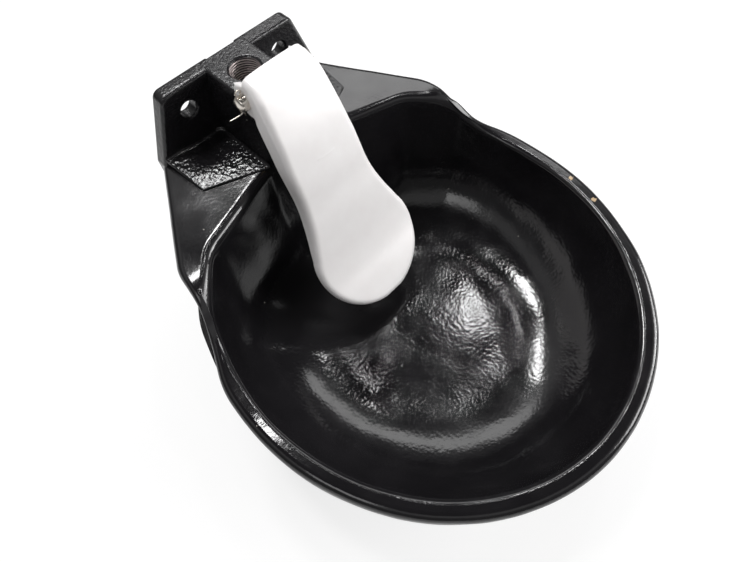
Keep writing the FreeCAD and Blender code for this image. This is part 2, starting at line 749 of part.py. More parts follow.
PIECES = {
    "bowl_casting": bowl_casting,
    "nose_paddle": nose_paddle,
    "pivot_pin": pivot_pin,
    "split_pin": split_pin,
    "valve_body": valve_body,
    "body_gasket": body_gasket,
    "valve_stem": valve_stem,
    "seat_seal": seat_seal,
    "valve_spring": valve_spring,
    "spring_cage": spring_cage,
    "inlet_strainer": inlet_strainer,
    "blanking_plug": blanking_plug,
    "plug_gasket": plug_gasket,
}
os.makedirs("parts", exist_ok=True)
for name, make in PIECES.items():
    shape = make()
    shape.exportStep(os.path.join("parts", name + ".step"))
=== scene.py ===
import math

import bmesh
import bpy
import numpy as np
from mathutils import Matrix, Vector


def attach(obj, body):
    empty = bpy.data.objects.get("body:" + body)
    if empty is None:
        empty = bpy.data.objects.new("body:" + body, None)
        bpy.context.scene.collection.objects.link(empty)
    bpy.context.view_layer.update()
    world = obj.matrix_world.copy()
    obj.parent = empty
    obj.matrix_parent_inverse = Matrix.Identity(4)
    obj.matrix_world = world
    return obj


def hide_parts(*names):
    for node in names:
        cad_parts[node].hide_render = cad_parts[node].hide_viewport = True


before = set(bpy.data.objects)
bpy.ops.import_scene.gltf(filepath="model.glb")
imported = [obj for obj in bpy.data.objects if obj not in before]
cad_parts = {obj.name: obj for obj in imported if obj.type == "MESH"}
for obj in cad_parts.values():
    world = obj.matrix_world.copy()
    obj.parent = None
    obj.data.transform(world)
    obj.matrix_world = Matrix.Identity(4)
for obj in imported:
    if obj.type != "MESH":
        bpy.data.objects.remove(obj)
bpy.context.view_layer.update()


# Bowl, rim and wings: the open part of the iron casting, poured in one with the
# wall plate and the boss. The skin is left as it comes from the sand, then dipped
# in black paint, so it's glossy and pebbly at once.

INNER_HALF = (0.130, 0.141)
OUTER_HALF = (0.1425, 0.1535)
BOWL_Y = -0.180
FLOOR_Z = -0.140
WALL = 0.007
RIM_Z = -0.060
RIM_SKIRT = 0.014
RIM_LIP, WING_LIP = 0.0036, 0.0060
RAMP = [(-0.084, -0.0295), (-0.096, -0.0310), (-0.107, -0.0380), (-0.117, -0.0470), (-0.127, -0.0530), (-0.140, -0.0566), (-0.158, -0.0590), (-0.180, -0.0600)]
MOUTH_CORNERS = [(0.1137, -0.1114, 0.035), (0.0874, -0.0830, 0.028), (0.0225, -0.0620, 0.009)]
WING_CORNERS = [(0.1390, -0.1429, 0.060), (0.1165, -0.1040, 0.040), (0.1130, -0.0800, 0.030), (0.0684, -0.0024, 0.001)]


def rounded_corners(corners, steps=12):
    """Points along straight runs whose corners (x, y, radius) are cut by tangent arcs."""
    points = []
    for i, (x, y, radius) in enumerate(corners):
        here = np.array([x, y])
        if radius <= 0 or i in (0, len(corners) - 1):
            points.append(here[None])
            continue
        back = np.array(corners[i - 1][:2]) - here
        ahead = np.array(corners[i + 1][:2]) - here
        back, ahead = back / np.linalg.norm(back), ahead / np.linalg.norm(ahead)
        half = math.acos(float(np.clip(back @ ahead, -1, 1))) / 2
        centre = here + (back + ahead) / np.linalg.norm(back + ahead) * radius / math.sin(half)
        start, end = here + back * radius / math.tan(half), here + ahead * radius / math.tan(half)
        t = np.linspace(0, 1, steps)[:, None]
        chord = start * (1 - t) + end * t - centre
        points.append(centre + chord / np.linalg.norm(chord, axis=1, keepdims=True) * radius)
    return np.concatenate(points)


def reach_from_bowl_centre(half, join_y, corners, angles):
    """Distance from the bowl's centre to an outline, for each angle: an ellipse in front, rounded runs behind."""
    start = math.acos((BOWL_Y - join_y) / half[1])
    t = np.linspace(-start, start, 600)
    front = np.stack([half[0] * np.sin(t), BOWL_Y - half[1] * np.cos(t)], 1)
    right = [(front[-1, 0], front[-1, 1], 0)] + corners
    left = [(-x, y, r) for x, y, r in reversed(right)]
    corners_cut = rounded_corners(right + left)
    run = np.concatenate([[0], np.cumsum(np.linalg.norm(np.diff(corners_cut, axis=0), axis=1))])
    even = np.linspace(0, run[-1], 2400)
    rear = np.stack([np.interp(even, run, corners_cut[:, 0]), np.interp(even, run, corners_cut[:, 1])], 1)
    loop = np.concatenate([front, rear])
    around = np.unwrap(np.arctan2(loop[:, 1] - BOWL_Y, loop[:, 0]))
    reach = np.hypot(loop[:, 0], loop[:, 1] - BOWL_Y)
    keep = np.concatenate([[True], np.diff(around) > 1e-7])
    return np.interp((angles - around[0]) % (2 * np.pi) + around[0], around[keep], reach[keep], period=2 * np.pi)


def smooth_line(points, count=400):
    """A curve through points: cubic pieces whose slope at each point is that between its neighbours."""
    points = np.asarray(points, float)
    n = len(points)
    step = np.linalg.norm(np.diff(points, axis=0), axis=1)
    knots = np.concatenate([[0], np.cumsum(step)])
    slope = np.empty_like(points)
    slope[1:-1] = (points[2:] - points[:-2]) / (knots[2:] - knots[:-2])[:, None]
    slope[0] = (points[1] - points[0]) / step[0]
    slope[-1] = (points[-1] - points[-2]) / step[-1]
    s = np.linspace(0, knots[-1], count)
    i = np.clip(np.searchsorted(knots, s, side="right") - 1, 0, n - 2)
    h = (knots[i + 1] - knots[i])[:, None]
    t = ((s - knots[i]) / h[:, 0])[:, None]
    return (points[i] * (2 * t**3 - 3 * t**2 + 1) + slope[i] * h * (t**3 - 2 * t**2 + t)
            + points[i + 1] * (3 * t**2 - 2 * t**3) + slope[i + 1] * h * (t**3 - t**2))


ramp_line = smooth_line([(0.0, RAMP[0][1])] + RAMP + [(-0.4, RIM_Z)], 800)


def rim_height(y):
    """Height of the casting's upper edge: level on the wings, down the ramp, level round the bowl."""
    order = np.argsort(ramp_line[:, 0])
    return np.clip(np.interp(y, ramp_line[order, 0], ramp_line[order, 1]), RIM_Z, RAMP[0][1])


def grid_mesh(name, grid, wrap_rows=False, wrap_columns=False, smooth=True, flip=False):
    """A mesh from a grid of points (rows, columns, 3): each four neighbours make one face.
    Rows or columns that close on themselves are joined, and points that fall together are merged."""
    rows, columns = grid.shape[:2]
    index = np.arange(rows * columns).reshape(rows, columns)
    if wrap_rows:
        index = np.concatenate([index, index[:1]], 0)
    if wrap_columns:
        index = np.concatenate([index, index[:, :1]], 1)
    faces = np.stack([index[:-1, :-1], index[1:, :-1], index[1:, 1:], index[:-1, 1:]], -1).reshape(-1, 4)
    if flip:
        faces = faces[:, ::-1]
    mesh = bpy.data.meshes.new(name)
    mesh.vertices.add(rows * columns)
    mesh.vertices.foreach_set("co", grid.reshape(-1).astype(np.float32))
    mesh.loops.add(faces.size)
    mesh.loops.foreach_set("vertex_index", faces.reshape(-1).astype(np.int32))
    mesh.polygons.add(len(faces))
    mesh.polygons.foreach_set("loop_start", np.arange(0, faces.size, 4, dtype=np.int32))
    mesh.update(calc_edges=True)
    build = bmesh.new()
    build.from_mesh(mesh)
    bmesh.ops.remove_doubles(build, verts=build.verts, dist=2e-6)
    bmesh.ops.dissolve_degenerate(build, dist=1e-7, edges=build.edges)
    bmesh.ops.recalc_face_normals(build, faces=build.faces)
    build.to_mesh(mesh)
    build.free()
    mesh.polygons.foreach_set("use_smooth", np.full(len(mesh.polygons), smooth))
    mesh.update()
    piece = bpy.data.objects.new(name, mesh)
    bpy.context.scene.collection.objects.link(piece)
    return piece


def bowl_skin(angle_count=420):
    """The open bowl as one closed surface: a profile from the floor's middle up the inner wall, over the rim or
    wing, down the skirt, and under the bowl to the foot's middle, carried round the bowl's centre.
    The wall follows r = reach * (floor share + rest * (1 - d^n)^(1/n)), where d is the depth as a share."""
    angles = np.linspace(0, 2 * np.pi, angle_count, endpoint=False)[:, None]
    inner = reach_from_bowl_centre(INNER_HALF, -0.117, MOUTH_CORNERS, angles[:, 0])[:, None]
    outer = reach_from_bowl_centre(OUTER_HALF, -0.158, WING_CORNERS, angles[:, 0])[:, None]
    power, floor_share, brow = 2.6, 0.34, 0.0055
    spot = lambda r: (r * np.cos(angles), BOWL_Y + r * np.sin(angles))
    lip = RIM_LIP + (WING_LIP - RIM_LIP) * np.clip((spot(inner)[1] - RAMP[5][0]) / 0.04, 0, 1)
    share = lambda d: floor_share + (1 - floor_share) * (1 - np.clip(d, 0, 1) ** power) ** (1 / power)
    columns = []

    def add(r, z):
        x, y = spot(r)
        columns.append(np.stack(np.broadcast_arrays(x, y, z), -1))

    edge = rim_height(spot(inner)[1])
    add(np.linspace(0, 1, 16)[None, :-1] * floor_share * inner, FLOOR_Z + 0 * angles)
    top = np.minimum(RIM_Z, edge - lip - 0.004)
    first = np.arcsin(np.clip((RIM_Z - top) / (RIM_Z - FLOOR_Z), 0, 1) ** (power / 2))
    sweep = np.linspace(0, 1, 40)[None]
    turn = np.pi / 2 + (first - np.pi / 2) * sweep
    depth = np.sin(turn) ** (2 / power)
    add(inner * share(depth), RIM_Z - (RIM_Z - FLOOR_Z) * depth)
    rise = np.linspace(0, 1, 9)[None, 1:-1]
    z = top + (edge - lip - top) * rise
    add(inner * share((RIM_Z - z) / (RIM_Z - FLOOR_Z)), z)
    bend = np.linspace(0, np.pi / 2, 7)[None]
    r = inner + lip * (1 - np.cos(bend))
    add(r, rim_height(spot(r)[1]) - lip * (1 - np.sin(bend)))
    along = np.linspace(0, 1, 34)[None, 1:-1]
    r = inner + lip + (outer - brow - inner - lip) * along
    add(r, rim_height(spot(r)[1]))
    bend = np.linspace(0, np.pi / 2, 9)[None]
    r = outer - brow * (1 - np.sin(bend))
    add(r, rim_height(spot(r)[1]) - brow * (1 - np.cos(bend)))
    level = rim_height(spot(outer)[1])
    drop = np.linspace(0, 1, 5)[None, 1:-1]
    add(outer + 0 * drop, level - brow - (RIM_SKIRT - brow - 0.003) * drop)
    bend = np.linspace(0, np.pi / 2, 6)[None]
    add(outer - 0.003 * (1 - np.cos(bend)), level - RIM_SKIRT + 0.003 * (1 - np.sin(bend)))
    shell = lambda z: inner * share((RIM_Z - z) / (RIM_Z - FLOOR_Z + WALL)) + WALL
    root = shell(level - RIM_SKIRT - 0.004)
    inward = np.linspace(0, 1, 8)[None, 1:]
    r = outer - 0.003 + (root + 0.004 - outer + 0.003) * inward
    add(r, level - RIM_SKIRT)
    bend = np.linspace(0, np.pi / 2, 6)[None, 1:]
    add(root + 0.004 * (1 - np.sin(bend)), level - RIM_SKIRT - 0.004 * (1 - np.cos(bend)))
    bottom = FLOOR_Z - WALL
    start = level - RIM_SKIRT - 0.004
    first = np.arcsin(np.clip((RIM_Z - np.minimum(start, RIM_Z - 0.001)) / (RIM_Z - bottom), 0, 1) ** (power / 2))
    knee = np.minimum(start - 0.002, RIM_Z - 0.020)
    z = start + (knee - start) * np.linspace(0, 1, 8)[None, 1:]
    add(shell(z), z)
    first = np.arcsin(((RIM_Z - knee) / (RIM_Z - bottom)) ** (power / 2))
    turn = first + (np.pi / 2 - first) * np.linspace(0, 1, 34)[None, 1:]
    depth = np.sin(turn) ** (2 / power)
    add(inner * share(depth) + WALL, RIM_Z - (RIM_Z - bottom) * depth)
    add((floor_share * inner + WALL) * np.linspace(1, 0, 14)[None, 1:], bottom + 0 * angles)
    return grid_mesh("casting_bowl", np.concatenate(columns, 1), wrap_rows=True)


def rough(x, y, grain, seed):
    """Rolling unevenness from -1 to 1: seeded heights on a square lattice of one grain, blended smoothly between."""
    lattice = np.random.default_rng(seed).uniform(-1, 1, (64, 64))
    u, v = x / grain, y / grain
    i, j = np.floor(u).astype(int), np.floor(v).astype(int)
    s, t = u - i, v - j
    s, t = s * s * (3 - 2 * s), t * t * (3 - 2 * t)
    pick = lambda a, b: lattice[(i + a) % 64, (j + b) % 64]
    return (pick(0, 0) * (1 - s) + pick(1, 0) * s) * (1 - t) + (pick(0, 1) * (1 - s) + pick(1, 1) * s) * t


def sand_cast(piece, waves):
    """Moves each point along its normal by the sum of several roughs, given as (depth, grain, seed)."""
    count = len(piece.data.vertices)
    place, normal = np.empty(count * 3), np.empty(count * 3)
    piece.data.vertices.foreach_get("co", place)
    piece.data.vertices.foreach_get("normal", normal)
    place, normal = place.reshape(-1, 3), normal.reshape(-1, 3)
    lift = sum(depth * rough(place[:, 0] + 0.7 * place[:, 2], place[:, 1] - 0.6 * place[:, 2], grain, seed)
               for depth, grain, seed in waves)
    piece.data.vertices.foreach_set("co", (place + normal * lift[:, None]).ravel())
    piece.data.update()


bowl = bowl_skin()
sand_cast(bowl, [(0.00045, 0.034, 3), (0.00010, 0.011, 4)])
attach(bowl, "casting")
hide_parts("bowl_casting")


def add_node(tree, kind, settings=None, **inputs):
    """A node with its settings, and its inputs set to a value or linked from another node's output."""
    node = tree.nodes.new(kind)
    for name, value in (settings or {}).items():
        setattr(node, name, value)
    for name, value in inputs.items():
        socket = node.inputs[int(name[1:])] if name[0] == "i" and name[1:].isdigit() else node.inputs[name.replace("_", " ")]
        if isinstance(value, bpy.types.NodeSocket):
            tree.links.new(value, socket)
        else:
            socket.default_value = value
    return node


def new_group(name, inputs, outputs):
    """An empty node group with float, vector or colour sockets, given as (name, kind, default)."""
    group = bpy.data.node_groups.new(name, "ShaderNodeTree")
    for title, kind, default in inputs:
        socket = group.interface.new_socket(title, in_out="INPUT", socket_type=kind)
        if default is not None:
            socket.default_value = default
    for title, kind in outputs:
        group.interface.new_socket(title, in_out="OUTPUT", socket_type=kind)
    return group, group.nodes.new("NodeGroupInput"), group.nodes.new("NodeGroupOutput")


FLOAT, VECTOR, COLOUR = "NodeSocketFloat", "NodeSocketVector", "NodeSocketColor"

# the skin that molten metal takes from sand: broad swells, pebbles and fine grain added together
cast_skin, given, out = new_group("cast_skin", [("Place", VECTOR, None), ("Swell", FLOAT, 1.0),
                                                ("Pebble", FLOAT, 1.0), ("Grain", FLOAT, 0.4)], [("Height", FLOAT)])
swell = add_node(cast_skin, "ShaderNodeTexNoise", Vector=given.outputs["Place"], Scale=95.0, Detail=3.0, Roughness=0.5)
pebbles = add_node(cast_skin, "ShaderNodeTexVoronoi", {"feature": "SMOOTH_F1"}, Vector=given.outputs["Place"],
                   Scale=420.0, Smoothness=0.7)
grain = add_node(cast_skin, "ShaderNodeTexNoise", Vector=given.outputs["Place"], Scale=1100.0, Detail=2.0)
lump = add_node(cast_skin, "ShaderNodeMath", {"operation": "MULTIPLY"}, i0=pebbles.outputs["Distance"],
                i1=given.outputs["Pebble"])
rolling = add_node(cast_skin, "ShaderNodeMath", {"operation": "MULTIPLY"}, i0=swell.outputs["Fac"],
                   i1=given.outputs["Swell"])
sum_a = add_node(cast_skin, "ShaderNodeMath", {"operation": "ADD"}, i0=rolling.outputs[0], i1=lump.outputs[0])
fine = add_node(cast_skin, "ShaderNodeMath", {"operation": "MULTIPLY"}, i0=grain.outputs["Fac"],
                i1=given.outputs["Grain"])
height = add_node(cast_skin, "ShaderNodeMath", {"operation": "ADD"}, i0=sum_a.outputs[0], i1=fine.outputs[0])
cast_skin.links.new(height.outputs[0], out.inputs["Height"])

# dust and grit: small light specks, scattered thinly where a broad noise allows them
grit, given, out = new_group("grit", [("Place", VECTOR, None), ("Spread", FLOAT, 0.5)], [("Specks", FLOAT)])
cells = add_node(grit, "ShaderNodeTexVoronoi", Vector=given.outputs["Place"], Scale=130.0)
dot = add_node(grit, "ShaderNodeMath", {"operation": "LESS_THAN"}, i0=cells.outputs["Distance"], i1=0.045)
chosen = add_node(grit, "ShaderNodeMath", {"operation": "LESS_THAN"}, i0=cells.outputs["Color"], i1=given.outputs["Spread"])
both = add_node(grit, "ShaderNodeMath", {"operation": "MULTIPLY"}, i0=dot.outputs[0], i1=chosen.outputs[0])
grit.links.new(both.outputs[0], out.inputs["Specks"])


NICKS = [(0.1338, -0.2040, -0.0603), (0.1290, -0.2265, -0.0603)]
HOLLOW_TOP = -0.066


def painted_iron(name, swell, pebble, hollow_pebble, grain_share, gloss, depth, dust_share):
    """Black dip paint over rough iron: near black, mottled gloss, specks of dust, two bare nicks on the rim, and
    the sand's skin as bump, with its own share of pebbles inside the bowl's hollow."""
    paint = bpy.data.materials.new(name)
    paint.use_nodes = True
    tree = paint.node_tree
    shader = tree.nodes["Principled BSDF"]
    place = add_node(tree, "ShaderNodeTexCoord").outputs["Object"]
    level = add_node(tree, "ShaderNodeSeparateXYZ", Vector=place)
    lumps = add_node(tree, "ShaderNodeMapRange", Value=level.outputs["Z"], From_Min=HOLLOW_TOP,
                     From_Max=HOLLOW_TOP - 0.012, To_Min=pebble, To_Max=hollow_pebble)
    skin = add_node(tree, "ShaderNodeGroup", {"node_tree": cast_skin}, Place=place, Swell=swell,
                    Pebble=lumps.outputs[0], Grain=grain_share)
    dust = add_node(tree, "ShaderNodeGroup", {"node_tree": grit}, Place=place, Spread=dust_share)
    mottle = add_node(tree, "ShaderNodeTexNoise", Vector=place, Scale=38.0, Detail=4.0)
    thin = add_node(tree, "ShaderNodeMix", {"data_type": "RGBA"}, Factor=mottle.outputs["Fac"],
                    i6=(0.0050, 0.0048, 0.0055, 1), i7=(0.0120, 0.0112, 0.0125, 1))
    speck = add_node(tree, "ShaderNodeMix", {"data_type": "RGBA"}, Factor=dust.outputs["Specks"],
                     i6=thin.outputs[2], i7=(0.42, 0.40, 0.36, 1))
    gaps = [add_node(tree, "ShaderNodeVectorMath", {"operation": "DISTANCE"}, i0=place, i1=spot) for spot in NICKS]
    nearest = add_node(tree, "ShaderNodeMath", {"operation": "MINIMUM"}, i0=gaps[0].outputs["Value"],
                       i1=gaps[1].outputs["Value"])
    ragged = add_node(tree, "ShaderNodeTexNoise", Vector=place, Scale=700.0, Detail=2.0)
    reach = add_node(tree, "ShaderNodeMath", {"operation": "MULTIPLY"}, i0=ragged.outputs["Fac"], i1=0.0034)
    chip = add_node(tree, "ShaderNodeMath", {"operation": "LESS_THAN"}, i0=nearest.outputs[0], i1=reach.outputs[0])
    colour = add_node(tree, "ShaderNodeMix", {"data_type": "RGBA"}, Factor=chip.outputs[0],
                      i6=speck.outputs[2], i7=(0.42, 0.31, 0.19, 1))
    tree.links.new(colour.outputs[2], shader.inputs["Base Color"])
    dull = add_node(tree, "ShaderNodeMapRange", Value=mottle.outputs["Fac"], From_Min=0.3, From_Max=0.7,
                    To_Min=gloss, To_Max=gloss + 0.10)
    rougher = add_node(tree, "ShaderNodeMath", {"operation": "MAXIMUM"}, i0=dull.outputs[0], i1=dust.outputs["Specks"])
    tree.links.new(rougher.outputs[0], shader.inputs["Roughness"])
    bump = add_node(tree, "ShaderNodeBump", Height=skin.outputs["Height"], Distance=depth, Strength=1.0)
    tree.links.new(bump.outputs["Normal"], shader.inputs["Normal"])
    return paint


smooth_paint = painted_iron("black_dip_paint", 0.16, 0.05, 0.10, 0.05, 0.08, 0.0006, 0.16)
bowl.data.materials.append(smooth_paint)


# Wall plate: the two flat ears of the casting that carry the bolt holes, either side
# of a shallow relief in the wall side. Iron, poured in one with the bowl; edges eased
# by the sand mould and by the paint.

MM = 0.001
PLATE_THICK = 10.5
BOLT_X, BOLT_RADIUS = 38.0, 6.0
RELIEF_X, RELIEF_DEPTH = 11.0, 2.2
PLATE_CORNERS = [(11.0, 18.0, 1.0), (52.0, 18.0, 6.0), (69.4, -29.5, 3.0), (69.4, -43.5, 6.0), (51.6, -78.0, 12.0), (11.0, -78.0, 1.0)]


def closed_outline(corners, count):
    """Even points round a closed outline whose corners (a, b, radius) are rounded."""
    first = [((corners[0][0] + corners[-1][0]) / 2, (corners[0][1] + corners[-1][1]) / 2, 0)]
    loop = rounded_corners(first + list(corners) + first, 14)
    step = np.concatenate([[0], np.cumsum(np.linalg.norm(np.diff(loop, axis=0), axis=1))])
    s = np.linspace(0, step[-1], count, endpoint=False)
    return np.stack([np.interp(s, step, loop[:, 0]), np.interp(s, step, loop[:, 1])], 1)


def rounded_slab(name, outline, hub, low, high, low_round, high_round, bore, mouth, axes):
    """A slab between two flat faces, as one closed profile carried round a hub: out along the low face, round
    the outline's two eased edges, back along the high face, and through the bore if it has one. Sizes in mm;
    axes are the directions of the outline's two coordinates and of the thickness."""
    ahead = np.roll(outline, -1, 0) - np.roll(outline, 1, 0)
    outward = np.stack([ahead[:, 1], -ahead[:, 0]], 1) / np.linalg.norm(ahead, axis=1, keepdims=True)
    if ((outline - hub) * outward).sum() < 0:
        outward = -outward
    ray = (outline - hub) / np.linalg.norm(outline - hub, axis=1, keepdims=True)
    start = hub + ray * (bore + mouth)
    steps = []
    for share in np.linspace(0, 1, 22):
        steps.append((start * (1 - share) + (outline - outward * low_round) * share, low))
    for turn in np.linspace(0, np.pi / 2, 6)[1:]:
        steps.append((outline - outward * low_round * (1 - math.sin(turn)), low + low_round * (1 - math.cos(turn))))
    for share in np.linspace(0, 1, 8)[1:-1]:
        steps.append((outline, low + low_round + (high - high_round - low - low_round) * share))
    for turn in np.linspace(0, np.pi / 2, 7):
        steps.append((outline - outward * high_round * (1 - math.cos(turn)), high - high_round * (1 - math.sin(turn))))
    for share in np.linspace(1, 0, 22)[1:]:
        steps.append((start * (1 - share) + (outline - outward * high_round) * share, high))
    if bore:
        for turn in np.linspace(0, np.pi / 2, 6)[1:]:
            steps.append((hub + ray * (bore + mouth * (1 - math.sin(turn))), high - mouth * (1 - math.cos(turn))))
        for share in np.linspace(0, 1, 8)[1:-1]:
            steps.append((hub + ray * bore, high - mouth + (low + 2 * mouth - high) * share))
        for turn in np.linspace(np.pi / 2, 0, 6)[:-1]:
            steps.append((hub + ray * (bore + mouth * (1 - math.sin(turn))), low + mouth * (1 - math.cos(turn))))
    a = np.stack([flat[:, 0] for flat, w in steps], 1)
    b = np.stack([flat[:, 1] for flat, w in steps], 1)
    w = np.array([w for flat, w in steps])[None] + 0 * a
    grid = a[..., None] * np.array(axes[0]) + b[..., None] * np.array(axes[1]) + w[..., None] * np.array(axes[2])
    return grid_mesh(name, grid * MM, wrap_rows=True, wrap_columns=bool(bore))


casting_pieces = []
for side, label in ((-1, "left"), (1, "right")):
    edge = closed_outline([(x * side, z, r) for x, z, r in PLATE_CORNERS], 300)
    casting_pieces.append(rounded_slab("plate_" + label, edge, np.array([BOLT_X * side, 0.0]), 0.0, PLATE_THICK, 1.2, 2.4,
                                       BOLT_RADIUS, 1.3, ((1, 0, 0), (0, 0, 1), (0, -1, 0))))
foot_edge = closed_outline([(-13, -44, 1), (13, -44, 1), (13, -77.5, 1), (-13, -77.5, 1)], 120)
casting_pieces.append(rounded_slab("plate_foot", foot_edge, np.array([0.0, -60.0]), RELIEF_DEPTH, PLATE_THICK, 0.6, 1.5,
                                   0, 0, ((1, 0, 0), (0, 0, 1), (0, -1, 0))))


# Valve boss: the drafted iron block that the water comes into from above and that the
# valve screws into from the front. The G 1/2 thread is cut in the raw casting, so its
# crests show bright; below it are the strainer's seat and the water way.

BOSS_TOP, BOSS_FOOT = 18.3, -52.0
BOSS_FRONT, BOSS_BACK = -62.0, -RELIEF_DEPTH
BOSS_HALF_TOP, BOSS_HALF_FOOT = 18.6, 22.5
INLET_Y = -26.0
THREAD_CREST, THREAD_ROOT, THREAD_PITCH, THREAD_LENGTH = 9.45, 10.48, 1.814, 16.0
WATER_WAY = 8.5
VALVE_Z, VALVE_BORE, CHAMBER_END = -8.0, 11.55, -14.0
PIVOT_Y, PIVOT_Z, PIN_BORE = -56.5, 25.7, 5.06


def boss_outline(inset, half, count=256):
    """Points of the boss seen from above, evenly by angle about the inlet: a rectangle with round front corners."""
    half_now, front, back = half - inset, BOSS_FRONT + inset, BOSS_BACK
    front_round = max(5.0 - inset, 0.6)
    loop = closed_outline([(-half_now, back, 0.4), (half_now, back, 0.4), (half_now, front, front_round), (-half_now, front, front_round)], 3000)
    around = np.arctan2(loop[:, 1] - INLET_Y, loop[:, 0])
    order = np.argsort(around)
    angles = np.linspace(-np.pi, np.pi, count, endpoint=False)
    reach = np.interp(angles, around[order], np.hypot(loop[:, 0], loop[:, 1] - INLET_Y)[order], period=2 * np.pi)
    return angles, reach


def boss_block():
    """The boss as one closed profile carried round the inlet: up the lower bore's mouth, out along the foot, up the
    drafted sides, over the rounded top edge, in to the inlet, and down its thread, whose wall follows
    crest + depth * triangle wave of (height / pitch - angle / turn), then the seat and the water way."""
    rows = []
    angles = boss_outline(0, BOSS_HALF_TOP)[0]

    def add(radius, z):
        radius = np.broadcast_to(radius, angles.shape)
        rows.append(np.stack([radius * np.cos(angles), INLET_Y + radius * np.sin(angles), np.full_like(angles, 1.0) * z], 1))

    def side(z, inset=0.0):
        share = (z - BOSS_FOOT) / (BOSS_TOP - BOSS_FOOT)
        return boss_outline(inset, BOSS_HALF_FOOT + (BOSS_HALF_TOP - BOSS_HALF_FOOT) * share)[1]

    foot = side(BOSS_FOOT, 2.0)
    for share in np.linspace(0, 1, 8):
        add(11.2 + (foot - 11.2) * share, BOSS_FOOT)
    for turn in np.linspace(0, np.pi / 2, 6)[1:]:
        add(side(BOSS_FOOT, 2.0 * (1 - math.sin(turn))), BOSS_FOOT + 2.0 * (1 - math.cos(turn)))
    for z in np.linspace(BOSS_FOOT + 2, BOSS_TOP - 2.4, 40)[1:-1]:
        add(side(z), z)
    for turn in np.linspace(0, np.pi / 2, 8):
        add(side(BOSS_TOP, 2.4 * (1 - math.cos(turn))), BOSS_TOP - 2.4 * (1 - math.sin(turn)))
    top = side(BOSS_TOP, 2.4)
    for share in np.linspace(1, 0, 20)[1:]:
        add(11.4 + (top - 11.4) * share, BOSS_TOP)
    for share in np.linspace(0, 1, 4)[1:]:
        add(11.4 - 0.9 * share, BOSS_TOP - 0.9 * share)
    for depth in np.linspace(0.9, THREAD_LENGTH, 110)[1:]:
        phase = (depth / THREAD_PITCH + angles / (2 * np.pi)) % 1
        ridge = np.clip(np.abs(phase - 0.5) * 2.6 - 0.15, 0, 1)
        fade = min(1.0, (THREAD_LENGTH - depth) / 1.2 + 0.02)
        add(THREAD_ROOT - (THREAD_ROOT - THREAD_CREST) * (1 - ridge) * fade, BOSS_TOP - depth)
    for radius, z in ((9.9, 2.0), (9.9, 0.0), (WATER_WAY, 0.0), (WATER_WAY, -18.0), (WATER_WAY, -36.0), (10.5, -36.0), (10.5, -44.0), (10.5, -51.3), (11.2, -52.0)):
        add(radius, z)
    return grid_mesh("valve_boss", np.array(rows) * MM, wrap_rows=True, wrap_columns=True)


def turned_grid(profile, origin, axis, across, count=72):
    """A profile of (distance along, radius) turned about an axis through an origin, in mm."""
    axis, across = np.array(axis, float), np.array(across, float)
    third = np.cross(axis, across)
    turn = np.linspace(0, 2 * np.pi, count, endpoint=False)
    along, radius = np.array(profile, float).T
    ring = np.cos(turn)[:, None] * across + np.sin(turn)[:, None] * third
    return (np.array(origin) + along[:, None, None] * axis + radius[:, None, None] * ring[None]) * MM


def bored(piece, profile, origin, axis, across):
    """Cuts a turned form out of a piece with an exact boolean, then keeps the result as the piece's own mesh."""
    cutter = grid_mesh("cutter", turned_grid(profile, origin, axis, across), wrap_columns=True)
    cut = piece.modifiers.new("bore", "BOOLEAN")
    cut.operation, cut.solver, cut.object = "DIFFERENCE", "EXACT", cutter
    result = bpy.data.meshes.new_from_object(piece.evaluated_get(bpy.context.evaluated_depsgraph_get()))
    piece.modifiers.clear()
    piece.data = result
    bpy.data.objects.remove(cutter)
    return piece


boss = boss_block()
bored(boss, [(0, 0), (0, VALVE_BORE), (26, VALVE_BORE), (26, 10.5), (49, 10.5), (49, 0)], (0, -63, VALVE_Z), (0, 1, 0), (1, 0, 0))
casting_pieces.append(boss)


# Hinge lug: the round-backed ear on top of the boss that carries the pin. It stands
# forward of the boss, and its foot runs back into the block with a small fillet.

LUG_HALF, LUG_RADIUS = 17.8, 10.0
turn = np.linspace(-0.12, np.pi + 0.12, 60)
crown = np.stack([PIVOT_Y + LUG_RADIUS * np.cos(turn), PIVOT_Z + LUG_RADIUS * np.sin(turn)], 1)
front = rounded_corners([(-66.5, 25.7, 0), (-66.5, 15.7, 4.0), (-57.5, 3.8, 0)], 10)
rear = rounded_corners([(-43.0, 4.0, 0), (-43.0, 17.6, 0.5), (-46.3, 18.2, 3.0), (-46.5, 25.0, 0)], 8)
rough_loop = np.concatenate([crown, front[1:], rear])
step = np.concatenate([[0], np.cumsum(np.linalg.norm(np.diff(rough_loop, axis=0), axis=1))])
even = np.linspace(0, step[-1], 240, endpoint=False)
lug_edge = np.stack([np.interp(even, step, rough_loop[:, 0]), np.interp(even, step, rough_loop[:, 1])], 1)
casting_pieces.append(rounded_slab("hinge_lug", lug_edge, np.array([PIVOT_Y, PIVOT_Z]), -LUG_HALF, LUG_HALF, 1.6, 1.6,
                                   PIN_BORE, 0.5, ((0, 1, 0), (0, 0, 1), (1, 0, 0))))


# Raised pads: the rough, lightly raised flats on the wings between the boss and the
# plate. They keep the skin of the core sand, and they meet the boss and the plate in
# soft fillets that catch the light.

PAD_TOP, PAD_FILLET, PAD_EDGE, PAD_CORNER, PAD_RISE = -28.3, 2.6, 1.2, 6.0, 3.6
PAD_CORNERS = [(21.3, -10.3), (67.0, -10.3), (64.3, -44.2), (21.3, -61.7)]


